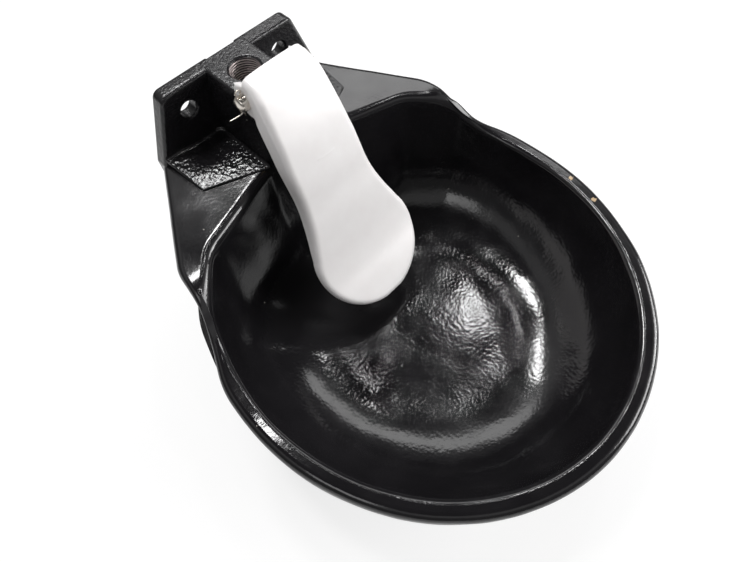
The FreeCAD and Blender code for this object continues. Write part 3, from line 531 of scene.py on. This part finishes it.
def pad_skin(name, side):
    """A height field on a four-sided patch: level by the boss, leaning forward on its outer half, with pebbles and
    swells, rising as quarter circles to the boss and the plate, and rolling down along its two free edges."""
    fillet = PAD_FILLET * (1 - np.cos(np.linspace(0, np.pi / 2, 12)))
    roll = PAD_EDGE * np.sin(np.linspace(0, np.pi / 2, 7))
    across = np.concatenate([fillet, np.linspace(PAD_FILLET, 43.5 - PAD_EDGE, 106)[1:-1], 43.5 - PAD_EDGE + roll]) / 43.5
    along = np.concatenate([fillet, np.linspace(PAD_FILLET, 42.0 - PAD_EDGE, 100)[1:-1], 42.0 - PAD_EDGE + roll]) / 42.0
    u, v = np.meshgrid(across, along, indexing="ij")
    a, b, c, d = [np.array(p)[None, None] for p in PAD_CORNERS]
    u3, v3 = u[..., None], v[..., None]
    flat = (a * (1 - u3) + b * u3) * (1 - v3) + (d * (1 - u3) + c * u3) * v3
    rise = lambda gap: PAD_FILLET - np.sqrt(np.clip(PAD_FILLET**2 - np.clip(PAD_FILLET - gap, 0, None)**2, 0, None))
    fall = lambda gap: PAD_EDGE - np.sqrt(np.clip(PAD_EDGE**2 - np.clip(PAD_EDGE - gap, 0, None)**2, 0, None))
    from_boss, from_plate = flat[..., 0] - 21.3, -10.3 - flat[..., 1]
    in_corner = np.hypot(np.clip(PAD_CORNER - from_boss, 0, None), np.clip(PAD_CORNER - from_plate, 0, None))
    gap = np.where((from_boss < PAD_CORNER) & (from_plate < PAD_CORNER), PAD_CORNER - in_corner,
                   np.minimum(from_boss, from_plate))
    outer_half = np.clip((u - 0.35) / 0.4, 0, 1)
    z = PAD_TOP + PAD_RISE * (1 - v) * outer_half + rise(np.clip(gap, 0, None)) - fall((1 - u) * 43.5) - fall((1 - v) * 42.0)
    x, y = flat[..., 0] * MM, flat[..., 1] * MM
    pebble = 0.05 * rough(x, y, 0.0016, 11) + 0.07 * rough(x, y, 0.0031, 12) + 0.18 * rough(x, y, 0.009, 13)
    z = z + pebble * np.clip((1 - u) * 12, 0, 1) * np.clip((1 - v) * 12, 0, 1)
    top = np.stack([flat[..., 0] * side, flat[..., 1], z], -1)
    sink = np.array([0, 0, 1.5])
    top = np.concatenate([top, top[-1:] - sink], 0)
    return grid_mesh(name, np.concatenate([top, top[:, -1:] - sink], 1) * MM)


for side, label in ((-1, "left"), (1, "right")):
    casting_pieces.append(pad_skin("pad_" + label, side))


# Ribs: two iron webs under the wings that tie the plate's foot to the back of the bowl.

for side, label in ((-1, "left"), (1, "right")):
    rib_edge = closed_outline([(-5, -36, 1), (-62, -36, 1), (-62.5, -65, 3), (-5, -65, 3)], 160)
    casting_pieces.append(rounded_slab("rib_" + label, rib_edge, np.array([-40.0, -48.0]), 50 * side - 3.5, 50 * side + 3.5,
                                       1.5, 1.5, 0, 0, ((0, 1, 0), (0, 0, 1), (1, 0, 0))))

pad_paint = painted_iron("black_dip_paint_pads", 0.5, 0.45, 0.45, 0.14, 0.11, 0.0008, 0.2)
grainy_paint = painted_iron("black_dip_paint_grainy", 0.5, 0.30, 0.30, 0.30, 0.15, 0.0006, 0.45)


def bare_thread(paint):
    """Lets raw iron show on the thread's crests: inside the inlet's root radius and above the strainer's seat."""
    tree = paint.node_tree
    shader = tree.nodes["Principled BSDF"]
    painted = shader.inputs["Base Color"].links[0].from_socket
    gloss = shader.inputs["Roughness"].links[0].from_socket
    place = add_node(tree, "ShaderNodeTexCoord").outputs["Object"]
    level = add_node(tree, "ShaderNodeMapRange", Value=add_node(tree, "ShaderNodeSeparateXYZ", Vector=place).outputs["Z"],
                     From_Min=1.5 * MM, From_Max=2.5 * MM)
    flat = add_node(tree, "ShaderNodeVectorMath", {"operation": "MULTIPLY"}, i0=place, i1=(1, 1, 0))
    offset = add_node(tree, "ShaderNodeVectorMath", {"operation": "DISTANCE"}, i0=flat.outputs[0],
                      i1=(0, INLET_Y * MM, 0))
    near = add_node(tree, "ShaderNodeMapRange", Value=offset.outputs["Value"], From_Min=10.2 * MM, From_Max=9.8 * MM)
    cut = add_node(tree, "ShaderNodeMath", {"operation": "MULTIPLY"}, i0=near.outputs[0], i1=level.outputs[0])
    colour = add_node(tree, "ShaderNodeMix", {"data_type": "RGBA"}, Factor=cut.outputs[0], i6=painted,
                      i7=(0.50, 0.43, 0.42, 1))
    dull = add_node(tree, "ShaderNodeMix", {"data_type": "FLOAT"}, Factor=cut.outputs[0], i2=gloss, i3=0.34)
    tree.links.new(colour.outputs[2], shader.inputs["Base Color"])
    tree.links.new(dull.outputs[0], shader.inputs["Roughness"])
    tree.links.new(cut.outputs[0], shader.inputs["Metallic"])
    return paint


boss_paint = bare_thread(painted_iron("black_dip_paint_boss", 0.5, 0.30, 0.30, 0.30, 0.15, 0.0006, 0.45))
for piece in casting_pieces:
    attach(piece, "casting")
    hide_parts("bowl_casting")
    piece.data.materials.clear()
    kind = piece.name.split("_")[0]
    piece.data.materials.append({"pad": pad_paint, "plate": grainy_paint, "hinge": grainy_paint,
                                 "valve": boss_paint}.get(kind, smooth_paint))


# Valve parts: the brass cartridge with its fibre washer, stem, rubber seal, spring and
# cage, the plastic strainer in the inlet, and the plug that closes the lower inlet.
# They keep their own solids and get their finishes here.

def plain_finish(name, base, second, roughness, metallic, grain, depth, stretch=(1, 1, 1)):
    """A metal or plastic finish: two close colours mottled by a noise, which also varies gloss and surface."""
    finish = bpy.data.materials.new(name)
    finish.use_nodes = True
    tree = finish.node_tree
    shader = tree.nodes["Principled BSDF"]
    shader.inputs["Metallic"].default_value = metallic
    place = add_node(tree, "ShaderNodeTexCoord").outputs["Object"]
    drawn = add_node(tree, "ShaderNodeMapping", Vector=place, Scale=stretch)
    noise = add_node(tree, "ShaderNodeTexNoise", Vector=drawn.outputs[0], Scale=grain, Detail=4.0)
    mix = add_node(tree, "ShaderNodeMix", {"data_type": "RGBA"}, Factor=noise.outputs["Fac"],
                   i6=(*base, 1), i7=(*second, 1))
    tree.links.new(mix.outputs[2], shader.inputs["Base Color"])
    gloss = add_node(tree, "ShaderNodeMapRange", Value=noise.outputs["Fac"], To_Min=roughness - 0.08, To_Max=roughness + 0.10)
    tree.links.new(gloss.outputs[0], shader.inputs["Roughness"])
    bump = add_node(tree, "ShaderNodeBump", Height=noise.outputs["Fac"], Distance=depth, Strength=1.0)
    tree.links.new(bump.outputs["Normal"], shader.inputs["Normal"])
    return finish


brass = plain_finish("turned_brass", (0.66, 0.47, 0.20), (0.52, 0.35, 0.13), 0.30, 1.0, 500, 0.00006, (1, 12, 1))
wire_steel = plain_finish("spring_steel", (0.60, 0.59, 0.57), (0.46, 0.45, 0.43), 0.30, 1.0, 900, 0.00003)
red_fibre = plain_finish("red_fibre", (0.30, 0.075, 0.045), (0.20, 0.05, 0.03), 0.70, 0.0, 1200, 0.00008)
black_rubber = plain_finish("seat_rubber", (0.022, 0.022, 0.022), (0.035, 0.034, 0.033), 0.62, 0.0, 900, 0.00004)
pale_plastic = plain_finish("strainer_plastic", (0.66, 0.64, 0.57), (0.58, 0.55, 0.47), 0.42, 0.0, 600, 0.00004)
dull_zinc = plain_finish("plug_zinc", (0.46, 0.46, 0.45), (0.33, 0.33, 0.33), 0.48, 1.0, 320, 0.00015)
for node, finish in (("valve_body", brass), ("valve_stem", brass), ("spring_cage", brass), ("valve_spring", wire_steel),
                     ("body_gasket", red_fibre), ("plug_gasket", red_fibre), ("seat_seal", black_rubber),
                     ("inlet_strainer", pale_plastic), ("blanking_plug", dull_zinc)):
    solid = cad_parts[node]
    if solid.material_slots:
        for slot in solid.material_slots:
            slot.material = finish
    else:
        solid.data.materials.append(finish)


# Nose paddle: the tongue that the animal pushes to let water in. A galvanised iron
# casting: flat web with deep side flanges that run down into a round spoon with a
# shallow turned-down rim, and two ears at the top that hang on the hinge pin.

WEB_LINE = [(-57, 41), (-60, 40.95), (-63, 40.5), (-66, 39.4), (-70, 36.8), (-74, 33), (-81, 22), (-88, 9.5), (-94, -3.5),
            (-100, -17), (-106, -31), (-113, -44.5), (-120, -58), (-127, -71), (-135, -83.5), (-144, -94.5), (-157.5, -111)]
FLANGE_LINE = [(-48.1, 32.8), (-45.5, 25.7), (-48.7, 17.9), (-56.5, 14.7), (-62, 15.9), (-64.2, 15.3), (-65.8, 12.9),
               (-72.2, 1.5), (-79, -10.3), (-86.4, -22.9), (-94.4, -36.5), (-102.3, -50), (-111.5, -62.5), (-120.6, -74.7),
               (-130.2, -87), (-139.7, -98.1), (-153.3, -114.5)]
HALF_WIDTHS = [(41, 22.3), (34, 24.0), (21, 25.3), (10, 26.3), (2, 27.0), (-4, 27.7), (-15, 28.2), (-24, 28.6), (-31, 29.4),
               (-38, 30.8), (-44, 32.5), (-51, 34.9), (-57, 37.4), (-64, 40.1)]
SPOON_Z, SPOON_HALF, SPOON_REACH = -77.0, 43.4, 34.5
PADDLE_THICK, PADDLE_EDGE, PADDLE_LIP = 4.0, 4.4, 2.0


def through(points, u):
    """A curve through points, by place in the list: cubic pieces whose slope is half the step between neighbours."""
    points = np.asarray(points, float)
    last = len(points) - 1
    i = np.clip(np.floor(u).astype(int), 0, last - 1)
    t = (u - i)[..., None]
    before, after = points[np.clip(i - 1, 0, last)], points[np.clip(i + 2, 0, last)]
    a, b = points[i], points[i + 1]
    m0, m1 = (b - before) / 2, (after - a) / 2
    return a * (2 * t**3 - 3 * t**2 + 1) + m0 * (t**3 - 2 * t**2 + t) + b * (3 * t**2 - 2 * t**3) + m1 * (t**3 - t**2)


def paddle_shell():
    """The tongue as one section carried from the left hinge end, round the spoon's tip, to the right hinge end. The
    section runs from the middle line out across the web, round the edge, down the flange to its round lip, and back
    inside, one wall thickness lower. Round the spoon the middle line gathers at the spoon's centre."""
    fine = np.linspace(0, len(WEB_LINE) - 1, 1601)
    line = through(WEB_LINE, fine)
    at_height = lambda z: np.interp(-z, -line[:, 1], fine)
    widths = smooth_line(HALF_WIDTHS, 300)
    join = math.acos(-(-64.0 - SPOON_Z) / SPOON_REACH)
    t = np.linspace(join, 0, 92)[1:]
    z_neck = np.concatenate([np.linspace(41, 36, 22)[:-1], np.linspace(36, -64, 110)])
    edge_z = np.concatenate([z_neck, SPOON_Z - SPOON_REACH * np.cos(t)])
    edge_x = np.concatenate([np.interp(-z_neck, -widths[:, 0], widths[:, 1]), SPOON_HALF * np.sin(t)])
    edge_z = np.maximum(edge_z, WEB_LINE[-1][1])
    edge_x = np.concatenate([edge_x, -edge_x[-2::-1]])
    u = at_height(edge_z)
    u[:3] = [0.0, 0.35, 0.7]
    u = np.maximum.accumulate(u)
    u = np.concatenate([u, u[-2::-1]])
    web, low = through(WEB_LINE, u), through(FLANGE_LINE, u)
    slope = through(WEB_LINE, np.clip(u + 0.01, 0, 16)) - through(WEB_LINE, np.clip(u - 0.01, 0, 16))
    slope = slope / np.linalg.norm(slope, axis=1, keepdims=True)
    face = np.stack([0 * u, slope[:, 1], -slope[:, 0]], 1)
    edge = np.stack([edge_x, web[:, 0], web[:, 1]], 1)
    ahead = np.gradient(edge, axis=0)
    sideways = np.cross(face, ahead)
    sideways /= np.linalg.norm(sideways, axis=1, keepdims=True)
    if sideways[5, 0] < 0:
        sideways = -sideways
    hang = edge + np.stack([0 * u, *(low - web).T], 1)
    bend = PADDLE_EDGE
    start = edge - sideways * bend
    corner = edge - face * bend
    down = hang - corner
    drop = np.linalg.norm(down, axis=1, keepdims=True)
    down = down / drop
    inner_bend = 1.2
    centre_u = at_height(SPOON_Z)
    start_u = at_height(start[:, 2])
    start_u[:4], start_u[-4:] = u[:4], u[-4:]
    middle_u = np.minimum(start_u, centre_u)

    def lowered(share, lower):
        v = middle_u + (start_u - middle_u) * share
        spot = through(WEB_LINE, v)
        tilt = through(WEB_LINE, np.clip(v + 0.01, 0, 16)) - through(WEB_LINE, np.clip(v - 0.01, 0, 16))
        tilt = tilt / np.linalg.norm(tilt, axis=1, keepdims=True)
        normal = np.stack([tilt[:, 1], -tilt[:, 0]], 1)
        shift = 0.5 * (1 - share**2) - lower
        return np.stack([start[:, 0] * share, spot[:, 0] + normal[:, 0] * shift, spot[:, 1] + normal[:, 1] * shift], 1)

    outer = [lowered(share, 0.0) for share in np.linspace(0, 1, 26)]
    for turn in np.linspace(0, np.pi / 2, 9)[1:]:
        outer.append(start + sideways * bend * math.sin(turn) - face * bend * (1 - math.cos(turn)))
    for share in np.linspace(0, 1, 16)[1:]:
        outer.append(corner + down * (drop - PADDLE_LIP) * share)
    lip_centre = corner + down * (drop - PADDLE_LIP) - sideways * PADDLE_LIP
    for turn in np.linspace(0, np.pi / 2, 6)[1:-1]:
        outer.append(lip_centre + sideways * PADDLE_LIP * math.cos(turn) + down * PADDLE_LIP * math.sin(turn))
    inner = []
    for turn in np.linspace(np.pi / 2, np.pi, 6)[1:]:
        inner.append(lip_centre + sideways * PADDLE_LIP * math.cos(turn) + down * PADDLE_LIP * math.sin(turn))
    inside_top = corner - sideways * PADDLE_THICK + face * (bend - PADDLE_THICK - inner_bend)
    inside_low = lip_centre - sideways * PADDLE_LIP
    for share in np.linspace(0, 1, 15)[1:]:
        inner.append(inside_low * (1 - share) + inside_top * share)
    for turn in np.linspace(0, np.pi / 2, 7)[1:]:
        inner.append(inside_top - sideways * inner_bend * (1 - math.cos(turn)) + face * inner_bend * math.sin(turn))
    roof = inner[-1]
    for share in np.linspace(1, 0, 26)[1:]:
        flat = lowered(share, PADDLE_THICK)
        blend = share**6
        inner.append(flat * (1 - blend) + roof * blend)
    section = outer + inner
    grid = np.stack(section, 1)
    first, last = grid[:1], grid[-1:]
    back = np.array([0, 1.6, 0.0])
    first = (first + first[:, ::-1]) / 2 + back
    last = (last + last[:, ::-1]) / 2 + back
    grid = np.concatenate([first, grid, last], 0)
    return grid_mesh("paddle_tongue", grid * MM)


tongue = paddle_shell()
bored(tongue, [(0, 0), (0, 5.08), (60, 5.08), (60, 0)], (-30, PIVOT_Y, PIVOT_Z), (1, 0, 0), (0, 1, 0))

nub_edge = closed_outline([(-89.9, -3.2, 4.9), (-79.9, -3.2, 4.9), (-79.9, -12.8, 4.9), (-89.9, -12.8, 4.9)], 90)
stalk = np.where((nub_edge[:, :1] < -85.5), nub_edge * [1, 0.72] + [-6.5, -2.24], nub_edge)
pusher = rounded_slab("paddle_pusher", stalk, np.array([-86.5, -8.0]), -8.0, 8.0, 1.2, 1.2, 0, 0, ((0, 1, 0), (0, 0, 1), (1, 0, 0)))

zinc = plain_finish("galvanised_iron", (0.90, 0.885, 0.88), (0.80, 0.77, 0.765), 0.42, 0.12, 60, 0.0002)
for piece in (tongue, pusher):
    piece.data.materials.clear()
    piece.data.materials.append(zinc)
    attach(piece, "paddle")
    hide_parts("nose_paddle")


# Hinge pin: a zinc-plated steel pin, headed on the right, domed and cross-drilled on
# the left, where a split pin of bent wire keeps it in place.

PIN_LEFT, PIN_RIGHT = -28.5, 22.7
dome = [(PIN_LEFT + 2.4 * (1 - math.cos(a)), 5.0 * math.sin(a)) for a in np.linspace(0, np.pi / 2, 9)]
head = [(PIN_RIGHT, 5.0), (PIN_RIGHT, 7.6), (PIN_RIGHT + 0.4, 8.0), (PIN_RIGHT + 2.8, 8.0), (PIN_RIGHT + 3.6, 7.5), (PIN_RIGHT + 4.0, 6.4), (PIN_RIGHT + 4.0, 0)]
pin = grid_mesh("hinge_pin", turned_grid(dome + head, (0, PIVOT_Y, PIVOT_Z), (1, 0, 0), (0, 1, 0), 96), wrap_columns=True)
bored(pin, [(0, 0), (0, 0.95), (18, 0.95), (18, 0)], (-25.4, PIVOT_Y, PIVOT_Z - 9), (0, 0, 1), (1, 0, 0))


def wire(name, route, radius, sides=14, samples=220):
    """A round wire carried along a smooth route: each ring stands square to the route's slope, and the ends are domed."""
    centre = smooth_line(route, samples)
    slope = np.gradient(centre, axis=0)
    slope /= np.linalg.norm(slope, axis=1, keepdims=True)
    across = np.cross(slope, [0.31, 0.52, 0.79])
    for i in range(1, samples):
        kept = across[i - 1] - slope[i] * (across[i - 1] @ slope[i])
        across[i] = kept
    across /= np.linalg.norm(across, axis=1, keepdims=True)
    third = np.cross(slope, across)
    turn = np.linspace(0, 2 * np.pi, sides, endpoint=False)
    ring = across[:, None] * np.cos(turn)[None, :, None] + third[:, None] * np.sin(turn)[None, :, None]
    grid = centre[:, None] + ring * radius
    ends = [np.repeat((centre[i] + slope[i] * radius * 0.5 * way)[None, None], sides, 1) for i, way in ((0, -1), (-1, 1))]
    return grid_mesh(name, np.concatenate([ends[0], grid, ends[1]], 0) * MM, wrap_columns=True)


cx, cy, cz = -25.4, PIVOT_Y, PIVOT_Z
cotter = wire("split_pin_wire", [(cx - 9.0, cy + 2.6, cz - 8.2), (cx - 4.6, cy + 1.2, cz - 7.6), (cx - 1.2, cy + 0.4, cz - 6.6),
                                 (cx - 0.45, cy, cz - 4.5), (cx - 0.45, cy, cz + 5.2), (cx - 1.0, cy + 0.2, cz + 6.6),
                                 (cx - 2.0, cy + 0.3, cz + 8.3), (cx, cy + 0.3, cz + 9.9), (cx + 2.0, cy + 0.3, cz + 8.3),
                                 (cx + 1.0, cy + 0.2, cz + 6.6), (cx + 0.45, cy, cz + 5.2), (cx + 0.45, cy, cz - 4.5),
                                 (cx + 0.5, cy, cz - 6.8), (cx + 0.6, cy + 0.4, cz - 9.0)], 0.44)
plated = plain_finish("zinc_plate", (0.80, 0.78, 0.74), (0.62, 0.54, 0.45), 0.24, 1.0, 260, 0.00001)
for piece, node in ((pin, "pivot_pin"), (cotter, "split_pin")):
    piece.data.materials.clear()
    piece.data.materials.append(plated)
    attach(piece, "casting")
    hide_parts(node)


# Floor, light and camera: a white table that keeps a faint shadow, a room that is dark
# overhead and pale behind, and lamps placed by where the paint and the zinc mirror them.

FLOOR_REACH = 3.0
line = np.linspace(-FLOOR_REACH, FLOOR_REACH, 3)
floor_grid = np.stack(np.meshgrid(line, line, indexing="ij") + [np.full((3, 3), FLOOR_Z - WALL - 0.0005)], -1)
floor = grid_mesh("floor", floor_grid)
ground = bpy.data.materials.new("studio_floor")
ground.use_nodes = True
tree = ground.node_tree
shader = tree.nodes["Principled BSDF"]
shader.inputs["Base Color"].default_value = (0.86, 0.86, 0.86, 1)
shader.inputs["Roughness"].default_value = 0.9
shader.inputs["Specular IOR Level"].default_value = 0.0
paper = add_node(tree, "ShaderNodeEmission", Color=(1, 1, 1, 1), Strength=1.08)
seen = add_node(tree, "ShaderNodeLightPath")
share = add_node(tree, "ShaderNodeMath", {"operation": "MULTIPLY"}, i0=seen.outputs["Is Camera Ray"], i1=0.72)
blend = add_node(tree, "ShaderNodeMixShader", i0=share.outputs[0], i1=shader.outputs[0], i2=paper.outputs[0])
tree.links.new(blend.outputs[0], tree.nodes["Material Output"].inputs["Surface"])
floor.data.materials.append(ground)

world = bpy.data.worlds.new("studio")
world.use_nodes = True
tree = world.node_tree
toward = add_node(tree, "ShaderNodeSeparateXYZ", Vector=add_node(tree, "ShaderNodeTexCoord").outputs["Generated"])
room = add_node(tree, "ShaderNodeValToRGB", Fac=toward.outputs["Z"])
stops = room.color_ramp.elements
stops[0].position, stops[0].color = 0.45, (0.16, 0.16, 0.16, 1)
stops[1].position, stops[1].color = 0.84, (0.02, 0.02, 0.02, 1)
stops.new(0.60).color = (0.55, 0.55, 0.55, 1)
stops.new(0.74).color = (0.55, 0.55, 0.55, 1)
seen = add_node(tree, "ShaderNodeLightPath")
plain = add_node(tree, "ShaderNodeMath", {"operation": "MAXIMUM"}, i0=room.outputs[0], i1=seen.outputs["Is Camera Ray"])
tree.links.new(plain.outputs[0], tree.nodes["Background"].inputs["Strength"])
tree.nodes["Background"].inputs["Color"].default_value = (1, 1, 1, 1)
bpy.context.scene.world = world


EYE = Vector((-0.1386, -0.2782, 0.2509))


def toward_sky(azimuth, elevation):
    """A direction from degrees: from +Y towards +X, and up from level."""
    a, e = math.radians(azimuth), math.radians(elevation)
    return Vector((math.sin(a) * math.cos(e), math.cos(a) * math.cos(e), math.sin(e)))


def mirrored(point):
    """The direction in which the eye sees the sky mirrored by level iron at a point."""
    sight = (EYE - Vector(point)).normalized()
    return Vector((-sight.x, -sight.y, sight.z))


def soft_lamp(name, seen_in, direction, distance, size, brightness):
    """A rectangular lamp that stands in a direction from the point it is mirrored in, and faces that point.
    Brightness is that of its surface, so the power follows from its area."""
    lamp = bpy.data.lights.new(name, "AREA")
    lamp.shape = "RECTANGLE"
    lamp.size, lamp.size_y = size
    lamp.energy = brightness * math.pi * size[0] * size[1]
    holder = bpy.data.objects.new(name, lamp)
    bpy.context.scene.collection.objects.link(holder)
    place = Vector(seen_in) + direction * distance
    holder.matrix_world = Matrix.Translation(place) @ direction.to_track_quat("Z", "Y").to_matrix().to_4x4()
    return holder


soft_lamp("front_right", (-0.02, -0.12, -0.03), toward_sky(133, 24), 1.3, (1.0, 0.4), 9.5)
soft_lamp("overhead", (-0.11, -0.12, -0.05), toward_sky(5, 69), 1.2, (0.16, 0.24), 44)
soft_lamp("pad_pane", (-0.055, -0.03, -0.027), toward_sky(24, 59), 1.2, (0.20, 0.16), 52)
soft_lamp("low_pane", (-0.064, -0.086, -0.114), toward_sky(130, 17), 1.3, (0.30, 0.07), 32)
soft_lamp("back_right", (0.09, -0.06, -0.03), toward_sky(55, 43), 1.5, (1.3, 0.35), 3.6)
soft_lamp("front_left", (0.0, -0.02, 0.01), toward_sky(-112, 38), 1.2, (0.35, 0.35), 2.6)
for name, point, size in (
        ("pane_right", (0.0370, -0.2030, -0.140), (0.08, 0.09)),
        ("pane_left", (-0.0330, -0.1750, -0.140), (0.025, 0.07)),
        ("pane_low", (0.0049, -0.2536, -0.139), (0.025, 0.025)),
        ("pane_front", (-0.0368, -0.2499, -0.138), (0.06, 0.03))):
    soft_lamp(name, point, mirrored(point), 1.2, size, 45)

lens = bpy.data.cameras.new("camera")
lens.sensor_width = 36
lens.lens = 25.87
lens.clip_start = 0.01
eye = bpy.data.objects.new("camera", lens)
bpy.context.scene.collection.objects.link(eye)
right = Vector((0.6938, -0.7200, -0.0182))
up = Vector((0.6420, 0.6068, 0.4685))
back = Vector((-0.3263, -0.3367, 0.8833))
turn = Matrix((right, up, back)).transposed().to_4x4()
eye.matrix_world = Matrix.Translation(EYE) @ turn
bpy.context.scene.camera = eye
bpy.context.scene.view_settings.view_transform = "Standard"
